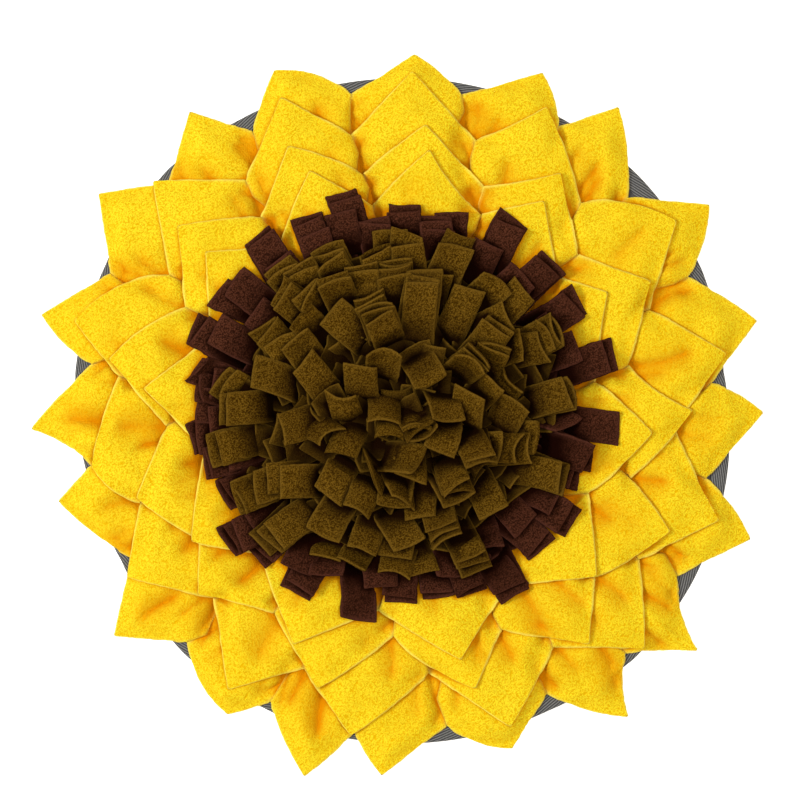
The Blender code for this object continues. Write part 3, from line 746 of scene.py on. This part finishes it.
def petalGrid(ring, number, field, soft, chance):
    # the upper face of a petal as it lies on field, of which soft is a smoothed copy, and the painted shade
    # of its creases
    before, petal = ring.petals[number - 1], ring.petals[number]
    rows, leftSide, rightSide, tipClock = petalOutline(ring, before, petal)
    u, v = spacedShares(petalCloth["columns"])[None, :], rows[:, None]
    plan = leftSide[:, None, :] * (1 - u)[..., None] + rightSide[:, None, :] * u[..., None]
    x, y = plan[..., 0], plan[..., 1]
    reach, clock = np.hypot(x, y), np.degrees(np.arctan2(x, y))
    width = np.linalg.norm(rightSide - leftSide, axis=1)[:, None]
    lift, sink = petalLift(u, v, width, -before.over, petal.over)
    crown, shoulders, pinch = petalSwell(u, v)
    below = readHeap(soft, x, y) + petalCloth["rest"]
    target = np.interp(reach, *zip(*ringHeights[ring.name])) + crown + shoulders - pinch
    z = below + np.maximum(target - below, petalCloth["leastLift"]) * lift
    for _ in range(3):
        angle, length = chance.uniform(0, math.pi), chance.uniform(*petalCloth["waveLength"])
        along = x * math.cos(angle) + y * math.sin(angle)
        wave = np.sin(along / length * 2 * math.pi + chance.uniform(0, 6.28))
        z = z + petalCloth["unevenness"] * wave * (0.25 + 0.75 * lift)
    span = (petal.notchClock - before.notchClock) % 360
    creases, paintedCreaseShade = foldsThere(ring, reach, clock, tipClock, span)
    room = np.maximum(z - below, 0)
    z = z - np.where(creases > 0, np.minimum(creases, room + 1.2), creases * np.minimum(1, room / 2 + 0.3))
    z = z - sink
    z = np.maximum(z, np.minimum(readHeap(field, x, y) + 0.15, z + 3.0))
    return np.stack([x, y, z + petalCloth["thickness"]], axis=-1), paintedCreaseShade


print("petals")
petalFleece = makeFleece("petal_fleece")
petalChance = random.Random(petalCloth["seed"])
petalGrids = []
for ring in rings:
    soft = blurHeap(widenHeap(heap, 2), 3.0)
    soft = np.maximum(soft, heap - 0.5)
    nextHeap = heap.copy()
    for number in range(len(ring.petals)):
        top, paintedCreaseShade = petalGrid(ring, number, heap, soft, petalChance)
        petalGrids.append((ring, number, top, paintedCreaseShade))
        layOnHeap(nextHeap, top)
    heap = nextHeap
petalHeap = heap.copy()

# where a stack's uppermost end lies and points, how steeply it stands, its layers, and how much further
# out each lower one ends; face is the length that lies straight before it bends down to its root, and
# roll leans the end over sideways
Stack = namedtuple("Stack", "x y heading pitch layers step face roll", defaults=(1, 4, 22, 0))
brownStacks = [Stack(*row) for row in (
    (-38.5, 143, 340, 2, 2, 4), (-63.5, 128, 340, 2, 2, 4), (-96, 116, 326, 2, 2, 3),
    (-124.5, 80, 299, 2), (-137, 54.5, 302, 2, 2, 4), (-139, -18, 256, 6, 2, 3),
    (-139, 4, 273, 4, 1, 3, 26), (-136, 17, 282, 14, 2, 3, 22, -26), (-138, 28, 290, 24, 2, 2, 20, 30),
    (-130, -35, 255, 2, 2, 3), (-118, -56, 245, 4, 2, 3), (-97, -95, 226, 2, 2, 4),
    (-111, -85, 241, 4, 3, 4), (-69, -119, 208, 2, 2, 4), (-29.5, -141.5, 180, 0, 1, 4, 40),
    (-2, -126, 184, 2, 2, 3), (24, -122, 172, 2, 2, 3), (46, -121, 160, 2, 2, 3),
    (73, -120, 148, 2, 2, 5), (92, -90, 134, 4, 2, 4), (111, -73, 123, 2, 2, 5), (116, -42, 107, 4, 2, 3),
    (126, -33, 112, 8, 2, 3, 22, -34), (146.5, -12, 97, 0, 1, 4, 34), (114, -9, 118, 16, 1, 3, 22, 42),
    (138, 37, 73, 2, 2, 5), (116.5, 72, 55, 2, 2, 4), (99, 98, 47, 2, 2, 4), (73, 126, 29, 2, 2, 5),
    (34, 134, 4, 2), (23, 128, 356, 4, 2, 3), (1, 134.5, 0, 2, 2, 4), (-19, 126, 352, 4, 2, 3),
    (-42, 134, 350, 4), (-60, 120, 345, 6), (-84, 102, 322, 6), (-114, 88, 307, 3, 1, 4, 30),
    (-100, 68, 307, 8), (-127, 56, 300, 6, 1, 4, 30), (-128, 18, 275, 6), (-130, -8, 268, 8),
    (-118, -30, 256, 8), (-103, -75, 238, 8), (-72, -108, 208, 6), (-52, -111, 192, 8),
    (-14, -119, 178, 8), (36, -112, 166, 8), (58, -92, 165, 12), (84, -78, 139, 6, 1, 4, 30),
    (104, -60, 118, 8), (118, 44, 66, 10), (102, 58, 54, 10), (82, 92, 44, 10), (59, 112, 28, 10),
    (24, 122, 8, 10))]
oliveStacks = [Stack(*row) for row in (
    (-82, 94, 316, 25, 2, 4), (-68, 94, 330, 30, 2, 4), (-48, 101, 337, 30, 3, 5), (-8, 122, 356, 15),
    (-17, 106, 345, 45, 2, 4), (-4, 97, 355, 60, 2, 5), (-27, 93, 350, 25, 2, 4),
    (-46, 87, 335, 30, 2, 4), (-80, 77, 308, 25, 2, 5), (-62, 79, 320, 50, 2, 4),
    (-90, 54, 318, 30, 2, 5), (-84, 48, 320, 35), (-69, 65, 318, 20), (-48, 67, 311, 15, 1, 4, 34),
    (-15, 62, 335, 35, 3, 4), (-100, 27, 284, 10, 1, 4, 32), (-66, 33, 322, 12, 1, 4, 30),
    (-72, 48, 322, 35), (-118, 19, 302, 30, 2, 5), (-28, 30, 2, 25), (-12, 40, 3, 30), (-41, 9, 342, 40),
    (-118, 1, 265, 12, 2, 4, 30), (-5, 90, 356, 30, 2, 5), (-22, 73, 335, 50, 2, 4),
    (37, 111, 22, 15, 2, 8), (3, 121, 5, 20), (4, 111, 355, 20), (24, 91, 15, 60),
    (14, 86, 8, 5, 3, 4, 42), (46, 82, 25, 10, 1, 4, 40), (66, 88, 45, 25), (82, 82, 42, 10),
    (70, 64, 60, 35), (63, 55, 35, 15, 2), (80, 45, 75, 40), (94, 43, 80, 60), (98, 52, 60, 50, 3, 4),
    (61, 40, 20, 55, 2), (20, 18, 155, 20, 1, 4, 26), (47, 33, 40, 65, 3, 4), (73, 19, 40, 70),
    (60, 20, 40, 60), (45, 12, 10, 20), (76, 6, 35, 55), (111, 12, 80, 20, 2, 4),
    (-124, -26, 253, 10, 2, 6), (-81, -48, 265, 10), (-91, -46, 262, 12), (-99, -52, 255, 15),
    (-108, -59, 245, 15, 2), (-80, -12, 255, 20), (-50, -15, 125, 60), (-42, -30, 205, 20),
    (-50, -57, 209, 5, 1, 4, 30), (-30, -66, 205, 25), (-86, -84, 232, 8, 3, 5, 32), (-54, -84, 204, 10),
    (-52, -98, 195, 55), (-34, -102, 212, 60), (-27, -93, 200, 25), (-5, -98, 190, 20),
    (-5, -108, 190, 40), (13, -32, 98, 10, 1, 4, 30), (-16, -50, 178, 35, 1, 4, 26, 68),
    (1, -60, 168, 26, 1, 4, 28, 52), (-6, -64, 186, 45), (-12, -6, 190, 45), (-8, -18, 195, 50),
    (10, -10, 155, 50, 3, 4), (32, -6, 170, 20), (25, -27, 200, 15), (52, -31, 155, 40, 3, 3),
    (91, -18, 92, 65), (84, -25, 92, 60), (76, -25, 92, 65), (66, -25, 92, 20),
    (106, -45, 105, 10, 2, 4, 38), (62, -68, 155, 8, 1, 4, 30), (36, -50, 157, 15, 3, 4.5),
    (6, -45, 182, 15), (12, -71, 180, 15), (26, -77, 165, 50, 3, 5), (5, -90, 150, 20),
    (15, -109, 158, 15), (46, -99, 160, 15, 3, 4.5))]
stripCloth = {
    "width": 23.0,
    "widthShares": (0.91, 1.0),
    "thickness": 2.2,
    "length": 64.0,           # from its root to its end
    "rows": 20,
    "fillerRows": 8,          # of a strip that only fills the mound
    "rootHeight": 4.8,
    "rootShare": 0.75,        # how far back it is sewn on, as a share of what its length allows
    "bendShare": 0.62,        # how much of its height it rises before it bends over
    "rootAside": 6,           # the next seven say how uneven the strips are
    "curl": (-4, 16),
    "twist": 15,
    "rootTwist": 20,
    "skew": 1.8,
    "cup": 2.6,
    "corner": 2.5,
    "clearance": 0.3,         # between cloths
    "clears": 6.0,            # cloth this far above it is left on top
    "layerDrop": 2.5,
    "layerAside": 1.6,
    "layerTurn": 4,
    "seed": 7,
    "rootShade": 0.9,         # painted shade: how dark it is far in, and how much darker each lower layer is
    "layerShade": 0.18,
    # painted shade of the fillers, which lie deep in the mound
    "fillerShade": 0.55,
    "paintedAwayShade": 0.24,
    "napSpread": 0.12,
    "napSeed": 5,
    "darkClock": 150,         # the painted shade is darkest on strips that point this way, away from the light
}
fineColumns = np.array([-1, -0.93, -0.7, -0.37, 0, 0.37, 0.7, 0.93, 1.0])
coarseColumns = np.array([-1, -0.9, -0.4, 0.4, 0.9, 1.0])


def bezier(start, bend, lead, end, shares):
    t = shares[:, None]
    return start * (1 - t) ** 3 + bend * 3 * t * (1 - t) ** 2 + lead * 3 * t * t * (1 - t) + end * t ** 3


def uneven(chance, name):
    return chance.uniform(-stripCloth[name], stripCloth[name])


def stripLine(stack, endHeight, chance, shares):
    # the middle of a strip from its root in the backing, up and over to its end
    ahead, side = direction(stack.heading), direction(stack.heading + 90)
    spot = np.array([stack.x, stack.y])
    end = np.array([*spot, endHeight])
    free = max(stripCloth["length"] ** 2 - endHeight ** 2, 0) ** 0.5
    back = max(stripCloth["rootShare"] * free, stack.face * math.cos(math.radians(stack.pitch)) + 4)
    root = np.array([*(spot - ahead * back + side * uneven(chance, "rootAside")), stripCloth["rootHeight"]])
    bend = root + np.array([0, 0, endHeight * stripCloth["bendShare"]])
    curl = math.radians(stack.pitch + chance.uniform(*stripCloth["curl"]))
    lead = end - np.array([*(ahead * math.cos(curl)), math.sin(curl)]) * stack.face
    return bezier(root, bend, lead, end, shares)


def shortOf(field, grid):
    # how much higher a strip would have to be at each point to lie on field
    return (readHeap(field, grid[..., 0], grid[..., 1]) + stripCloth["clearance"] + stripCloth["thickness"]
            - grid[..., 2])


def stripGrid(field, stack, endHeight, chance, lies=None, fine=True):
    # the upper face of a strip that is bent over outward, and its painted shade; lies is the cloth it rests
    # on
    columns = fineColumns if fine else coarseColumns
    count = stripCloth["rows" if fine else "fillerRows"]
    rows = np.concatenate([np.linspace(0, 1, count - 1)[:-1] ** 0.8, [0.985, 1.0]])
    line = stripLine(stack, endHeight, chance, rows)
    ahead = np.gradient(line, axis=0)
    ahead /= np.linalg.norm(ahead, axis=1, keepdims=True)
    level = np.array([*direction(stack.heading + 90), 0.0])
    up = np.cross(level[None, :], ahead)
    # strips in the middle of the mound are looser
    loose = 1.9 - ease(math.hypot(stack.x, stack.y), 30, 100)
    twist = np.radians((chance.uniform(-1, 1) * stripCloth["twist"] * loose + stack.roll) * rows
                       + uneven(chance, "rootTwist") * (1 - rows))
    across = level * np.cos(twist)[:, None] + up * np.sin(twist)[:, None]
    half = stripCloth["width"] / 2 * chance.uniform(*stripCloth["widthShares"])
    grid = line[:, None, :] + across[:, None, :] * (columns * half)[None, :, None]
    skew = uneven(chance, "skew") * ease(rows, 0.7, 1)
    grid = grid + ahead[:, None, :] * (skew[:, None] * columns[None, :])[..., None]
    cup = uneven(chance, "cup") * (0.35 + rows) * 0.8 * loose
    corners = (uneven(chance, "corner") * np.clip(columns, 0, 1) ** 2
               + uneven(chance, "corner") * np.clip(-columns, 0, 1) ** 2)
    curve = cup[:, None] * (columns ** 2 - 0.4)[None, :] + ease(rows, 0.75, 1)[:, None] * corners[None, :]
    grid = grid + up[:, None, :] * curve[..., None]
    if lies is not None:
        grid[..., 2] += np.maximum(shortOf(lies, grid), 0) * ease(rows, 0.15, 0.35)[:, None]
    # clear the corners that would just come through, and pass well below whatever lies much higher
    short = shortOf(field, grid)
    rise = np.where(short > stripCloth["clears"], 0, np.maximum(short, 0)).max(axis=1) * (rows > 0.5)
    for _ in range(3):
        rise = np.maximum(rise, np.maximum(np.append(rise[1:], 0), np.insert(rise[:-1], 0, 0)) * 0.75)
    grid[..., 2] += rise[:, None]
    middle = grid[::-1, len(columns) // 2]
    fromEnd = np.append(np.cumsum(np.linalg.norm(np.diff(middle, axis=0), axis=1))[::-1], 0)
    # painted shade, darker from the end in towards the root
    paintedDepthShade = ease(fromEnd, stack.face * 0.25, stack.face * 0.8 + 14) * stripCloth["rootShade"]
    return grid, np.repeat(paintedDepthShade[:, None], grid.shape[1], axis=1)


def layStack(field, stack, top, chance, lies=None, fine=True):
    # the lower layers of a stack end a little further out, each a cloth's thickness down
    grids = []
    pitch = math.radians(stack.pitch)
    drop, half = stripCloth["layerDrop"], stripCloth["width"] / 2
    for layer in range(stack.layers - 1, -1, -1):
        aside = direction(stack.heading + 90) * uneven(chance, "layerAside") * (layer > 0)
        further = stack.step * layer * math.cos(pitch) + drop * layer * math.sin(pitch)
        out = direction(stack.heading) * further
        spot = np.array([stack.x, stack.y]) + out + aside
        heading = stack.heading + uneven(chance, "layerTurn") * (layer > 0)
        lower = stack._replace(x=spot[0], y=spot[1], heading=heading)
        height = top - layer * (drop * math.cos(pitch) - stack.step * math.sin(pitch))
        line = spot[:, None] + direction(heading + 90)[:, None] * np.linspace(-half, half, 9)
        under = readHeap(field, *(line - direction(heading)[:, None] * 2)).max()
        height = max(height, min(under + stripCloth["thickness"] + stripCloth["clearance"], height + 6))
        grid, paintedDepthShade = stripGrid(field, lower, height, chance, lies, fine)
        layOnHeap(field, grid, 4 if fine else 8)
        # painted shade: darker on strips that point away from the light, with a little random tone for each
        # strip, and darker on lower layers and fillers
        away = (1 + math.cos(math.radians(heading - stripCloth["darkClock"]))) / 2
        nap = away * stripCloth["paintedAwayShade"] + napChance.uniform(-1, 1) * stripCloth["napSpread"]
        dark = paintedDepthShade + nap + stripCloth["layerShade"] * layer + stripCloth["fillerShade"] * (not fine)
        grids.append((grid, np.clip(dark, 0, 1)))
    return grids


# both sets of strips have stacks as listed above, and under them strips that only fill
brownRing = {
    "top": 25,                # height of the ends, how uneven it is, and how much steeper some stand
    "uneven": (0, 3),
    "steeper": 22,
    "fillRings": ((100, 24), (114, 30)),
    "fillShift": 4,
    "fillTurn": 14,
    "fillPitch": (15, 40),
    "fillTop": (15, 22),
}
oliveMound = {
    "tops": [(0, 56), (40, 54), (70, 50), (90, 46), (110, 40), (125, 33.5)],
    "uneven": (-5, 3),
    "steeper": 18,
    "fillHalf": 112,          # half the square of spots, and how far out they are used
    "fillReach": 108,
    "fillStep": 15.0,
    "fillShift": 4,
    "fillTurn": 50,
    "fillPitch": (20, 45),
    "fillDepth": (17, 28),    # how far below the mound's surface they end
}


def moundHeight(stack):
    return np.interp(math.hypot(stack.x, stack.y), *zip(*oliveMound["tops"]))


def brownFillers(chance):
    # a generator, so each is drawn only after the one before it is laid
    turn, shift = brownRing["fillTurn"], brownRing["fillShift"]
    for reach, count in brownRing["fillRings"]:
        for number in range(count):
            clock = 360 * (number + chance.uniform(-0.25, 0.25)) / count
            x, y = polar(np.array(clock), np.array(reach + chance.uniform(-shift, shift)))
            heading = clock + chance.uniform(-turn, turn)
            yield Stack(x, y, heading, chance.uniform(*brownRing["fillPitch"]))


def oliveFillers(chance):
    turn, shift, step = (oliveMound[name] for name in ("fillTurn", "fillShift", "fillStep"))
    steps = int(oliveMound["fillHalf"] / step)
    for i in range(-steps, steps + 1):
        for j in range(-steps, steps + 1):
            x = (i + 0.5 * (j % 2)) * step + chance.uniform(-shift, shift)
            y = j * step + chance.uniform(-shift, shift)
            if math.hypot(x, y) < oliveMound["fillReach"]:
                heading = math.degrees(math.atan2(x, y)) + chance.uniform(-turn, turn)
                yield Stack(x, y, heading, chance.uniform(*oliveMound["fillPitch"]))


print("strips")
stripChance = random.Random(stripCloth["seed"])
napChance = random.Random(stripCloth["napSeed"])
brownGrids, oliveGrids = [], []
for stack in brownFillers(stripChance):
    brownGrids += layStack(heap, stack, stripChance.uniform(*brownRing["fillTop"]), stripChance, fine=False)
for stack in brownStacks:
    steeper = stack._replace(pitch=stack.pitch + stripChance.uniform(0, brownRing["steeper"]))
    height = brownRing["top"] + stripChance.uniform(*brownRing["uneven"])
    brownGrids += layStack(heap, steeper, height, stripChance, petalHeap)
for stack in list(oliveFillers(stripChance)):
    height = moundHeight(stack) - stripChance.uniform(*oliveMound["fillDepth"])
    oliveGrids += layStack(heap, stack, height, stripChance, fine=False)
for stack in sorted(oliveStacks, key=lambda stack: -math.hypot(stack.x, stack.y)):
    steeper = stack._replace(pitch=stack.pitch + stripChance.uniform(0, oliveMound["steeper"]))
    height = moundHeight(stack) + stripChance.uniform(*oliveMound["uneven"])
    oliveGrids += layStack(heap, steeper, height, stripChance)

# painted shade: cloth over or beside a point darkens its colour. For each blur of the heap: its width, how
# far it has to stand above the point, over what height the shade comes up, the most it comes to, and its
# share
coverLook = {
    "strips": ((1.1, 0.3, 2.5, 1, 0.75), (5.0, 0, 9, 1, 1)),
    "petals": ((6.0, 0.6, 9, 1, 1), (1.4, 0.3, 3.0, 0.8, 1)),
    # shares of the painted shade in creases, under cloth and where the next ring's petals meet above, and
    # how wide that last spot is
    "creaseShadeShare": 0.65,
    "coverShare": 0.9,
    "notchShadeShare": 0.7,
    "notchShadeWidth": 3.6,
}


def blurredHeaps(name):
    return [(blurHeap(heap, width), *rest) for width, *rest in coverLook[name]]


def coverShade(blurred, grid):
    x, y, z = grid[..., 0], grid[..., 1], grid[..., 2]
    return sum(np.clip((readHeap(field, x, y) - z - gap) / depth, 0, most) * share
               for field, gap, depth, most, share in blurred)


def notchShade(notches, grid):
    # painted shade on petals where those of the next ring meet above them
    shade = np.zeros(grid.shape[:2])
    for x, y in notches:
        shade = shade + gauss(np.hypot(grid[..., 0] - x, grid[..., 1] - y), coverLook["notchShadeWidth"])
    return shade


stripShades = blurredHeaps("strips")
for name, grids, node, slot in (("brown_fleece_strips", brownGrids, "brown_strips", "brown_fleece"),
                                ("olive_fleece_strips", oliveGrids, "olive_strips", "olive_fleece")):
    # painted shade: darker far in, and under and beside other cloth
    shades = [np.clip(paintedDepthShade + coverShade(stripShades, grid), 0, 1) for grid, paintedDepthShade in grids]
    sheets = [closedSheet(grid, stripCloth["thickness"], shade, upward=False)
              for (grid, _), shade in zip(grids, shades)]
    piece = sheetObject(name, joinSheets(sheets), makeFleece(slot), slot, node)
    print(name, len(grids), "strips,", sum(len(face.vertices) - 2 for face in piece.data.polygons),
          "triangles, up to", round(max(grid[..., 2].max() for grid, _ in grids), 1), "mm")

petalShades = blurredHeaps("petals")
innerNotches = {ring.name: [polar(np.array(petal.notchClock), np.array(petal.notchReach + 1.5))
                            for petal in inner.petals] for ring, inner in zip(rings, rings[1:])}
for ring, number, top, paintedCreaseShade in petalGrids:
    paintedNotchShade = notchShade(innerNotches.get(ring.name, []), top)
    # painted shade: in creases, under and beside the cloth above, and where the next ring's petals meet
    # above
    foldAndPaintedShade = np.clip(paintedCreaseShade * coverLook["creaseShadeShare"] + coverShade(petalShades, top) * coverLook["coverShare"]
                   + paintedNotchShade * coverLook["notchShadeShare"], 0, 1)
    label = f"{ring.name}_{number + 1:02d}"
    node = "petal_inner_ring" if ring.name == "inner" else "petal_" + label
    sheet = closedSheet(top, petalCloth["thickness"], foldAndPaintedShade)
    piece = sheetObject("fleece_" + label, sheet, petalFleece, "petal_fleece", node)

print("floor, light and camera")
setLook = {
    "pixel": 0.68 * mm,       # size of one pixel of the picture at the mat
    "pixels": 800,
    "sensor": 36,
    "distance": 3.2,
    "middle": (-1.4 * mm, 7.5 * mm),
    "aimHeight": 0.02,
    "floorHalf": 3.0,
    "floorDepth": 0.2 * mm,
    "floorTones": ((0.93, 0.93, 0.93, 1), (0.95, 0.95, 0.95, 1)),
    "floorGlow": 0.6,
    "sky": (1, 0.82, 0.54, 1),
    "skyStrength": 0.43,
    # place, size, power and colour of the discs of light, which all point at the mat
    "lights": {
        "key_west": ((-3.6, 0.25, 4.2), 1.4, 196, (0.98, 1, 1)),
        "overhead": ((1.0, 0.1, 6.0), 3.5, 166, (1, 1, 1)),
    },
}


def makeFloor():
    bpy.ops.mesh.primitive_plane_add(size=2 * setLook["floorHalf"], location=(0, 0, -setLook["floorDepth"]))
    floor = bpy.context.object
    floor.name = "floor"
    material, shader, place = newMaterial("mat_floor")
    colour = place.mix(place.noise(60, 2, 0.5), *setLook["floorTones"])
    finishShader(place, shader, {"Base Color": colour},
                 {"Roughness": 0.9, "Specular IOR Level": 0.1, "Emission Color": (1, 1, 1, 1),
                  "Emission Strength": setLook["floorGlow"]})
    # the floor's underside is clear, so that the mat shows from below
    under = place.add("ShaderNodeNewGeometry", output="Backfacing")
    clear = place.add("ShaderNodeBsdfTransparent")
    faces = place.add("ShaderNodeMixShader", {0: under, 1: Wire(place.tree, shader.outputs[0]), 2: clear})
    place.tree.links.new(faces.socket, place.tree.nodes["Material Output"].inputs["Surface"])
    floor.data.materials.append(material)


def addLight(name, place, size, power, colour):
    light = bpy.data.lights.new(name, "AREA")
    light.shape = "DISK"
    light.size = size
    light.energy = power
    light.color = colour
    lamp = bpy.data.objects.new(name, light)
    lamp.location = place
    lamp.rotation_euler = (Vector((0, 0, 0)) - Vector(place)).to_track_quat("-Z", "Y").to_euler()
    bpy.context.scene.collection.objects.link(lamp)


makeFloor()
for name, light in setLook["lights"].items():
    addLight(name, *light)
world = bpy.data.worlds.new("studio")
world.use_nodes = True
world.node_tree.nodes["Background"].inputs["Color"].default_value = setLook["sky"]
world.node_tree.nodes["Background"].inputs["Strength"].default_value = setLook["skyStrength"]
bpy.context.scene.world = world
bpy.context.scene.view_settings.view_transform = "Standard"

camera = bpy.data.cameras.new("camera")
camera.sensor_width = setLook["sensor"]
camera.lens = setLook["sensor"] * setLook["distance"] / (setLook["pixels"] * setLook["pixel"])
camera.clip_end = 20
eye = bpy.data.objects.new("camera", camera)
eye.location = (*setLook["middle"], setLook["aimHeight"] + setLook["distance"])
bpy.context.scene.collection.objects.link(eye)
bpy.context.scene.camera = eye
